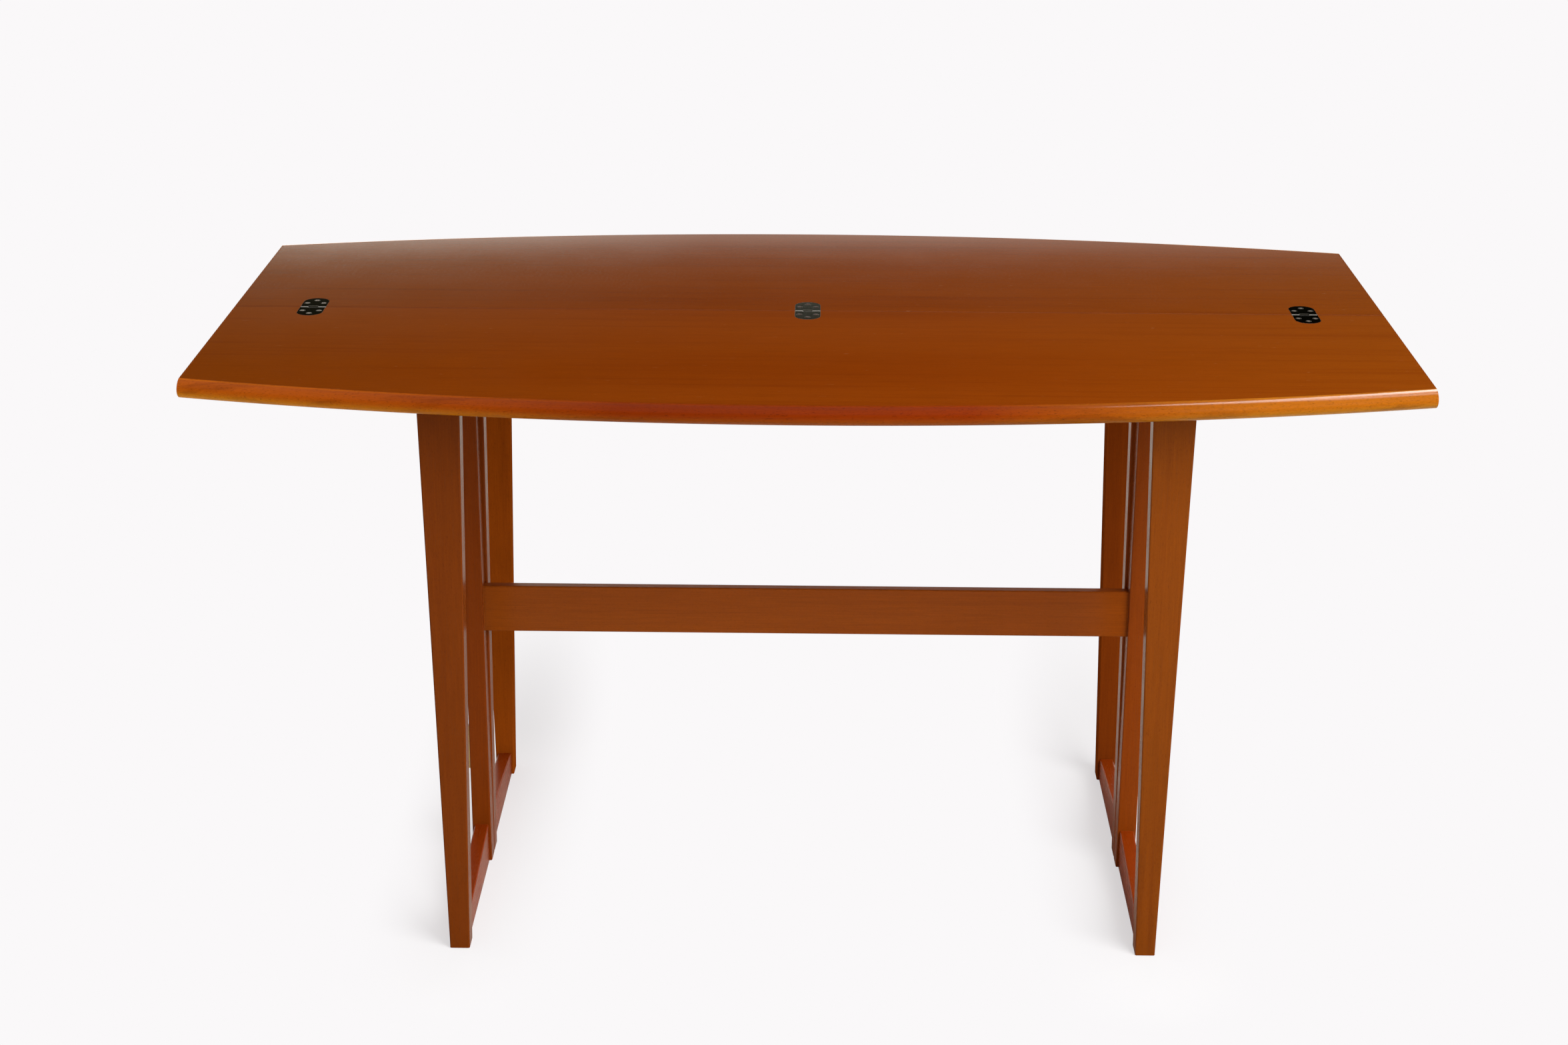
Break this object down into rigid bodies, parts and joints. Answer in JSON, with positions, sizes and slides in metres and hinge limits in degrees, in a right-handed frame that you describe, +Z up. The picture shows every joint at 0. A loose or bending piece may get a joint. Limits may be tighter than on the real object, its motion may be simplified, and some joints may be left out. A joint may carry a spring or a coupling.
{
  "type": "flip-top console table",
  "caption": "Console table whose rear leaf folds over the front one on flush link hinges, with swinging gate legs and a stretcher between fixed trestles.",
  "frame": {"origin": "on the floor under the middle of the joint between the two leaves", "axes": "+X along the top, to the right seen from the fixed leaf's side; +Y towards the leaf that folds; +Z up"},
  "size_m": [1.4, 0.7998, 0.737],
  "materials": {
    "veneer": "satin lacquered veneer",
    "lipping": "gloss lacquered beech",
    "leg_wood": "satin lacquered solid wood",
    "dowel_wood": "bare beech",
    "dark_nickel": "dark nickel",
    "steel": "bright zinc",
    "brass": "satin"
  },
  "bodies": {
    "base": {"front_leaf": "veneer", "front_lipping": "lipping", "front_left_band": "veneer", "front_right_band": "veneer", "left_front_plate": "dark_nickel", "middle_front_plate": "dark_nickel", "right_front_plate": "dark_nickel", "front_link_pins": "steel", "front_plate_screws": "steel", "left_front_leg": "leg_wood", "left_fixed_post": "leg_wood", "left_foot_rail": "leg_wood", "left_top_rail": "leg_wood", "right_front_leg": "leg_wood", "right_fixed_post": "leg_wood", "right_foot_rail": "leg_wood", "right_top_rail": "leg_wood", "stretcher": "leg_wood", "stretcher_dowels": "dowel_wood", "left_frame_dowels": "dowel_wood", "right_frame_dowels": "dowel_wood", "top_screws": "steel", "left_post_butts": "brass", "left_butt_pins": "steel", "right_post_butts": "brass", "right_butt_pins": "steel", "left_post_butt_screws": "brass", "right_post_butt_screws": "brass"},
    "rear_leaf": {"rear_leaf": "veneer", "rear_lipping": "lipping", "rear_left_band": "veneer", "rear_right_band": "veneer", "left_rear_plate": "dark_nickel", "middle_rear_plate": "dark_nickel", "right_rear_plate": "dark_nickel", "rear_link_pins": "steel", "rear_plate_screws": "steel"},
    "hinge_links": {"left_link": "dark_nickel", "middle_link": "dark_nickel", "right_link": "dark_nickel"},
    "left_gate": {"left_gate_leg": "leg_wood", "left_gate_post": "leg_wood", "left_gate_foot_rail": "leg_wood", "left_gate_top_rail": "leg_wood", "left_gate_dowels": "dowel_wood", "left_gate_butts": "brass", "left_gate_butt_screws": "brass"},
    "right_gate": {"right_gate_leg": "leg_wood", "right_gate_post": "leg_wood", "right_gate_foot_rail": "leg_wood", "right_gate_top_rail": "leg_wood", "right_gate_dowels": "dowel_wood", "right_gate_butts": "brass", "right_gate_butt_screws": "brass"}
  },
  "joints": [
    {"name": "link_fold", "type": "hinge", "parent": "base", "child": "hinge_links", "pos_m": [0, -0.00225, 0.7349], "axis": [1, 0, 0], "range_deg": [0, 90]},
    {"name": "leaf_fold", "type": "hinge", "parent": "hinge_links", "child": "rear_leaf", "pos_m": [0, 0.00225, 0.7349], "axis": [1, 0, 0], "range_deg": [0, 90]},
    {"name": "left_gate_swing", "type": "hinge", "parent": "base", "child": "left_gate", "pos_m": [-0.4332, 0, 0.37], "axis": [0, 0, 1], "range_deg": [0, 170]},
    {"name": "right_gate_swing", "type": "hinge", "parent": "base", "child": "right_gate", "pos_m": [0.4332, 0, 0.37], "axis": [0, 0, -1], "range_deg": [0, 170]}
  ]
}
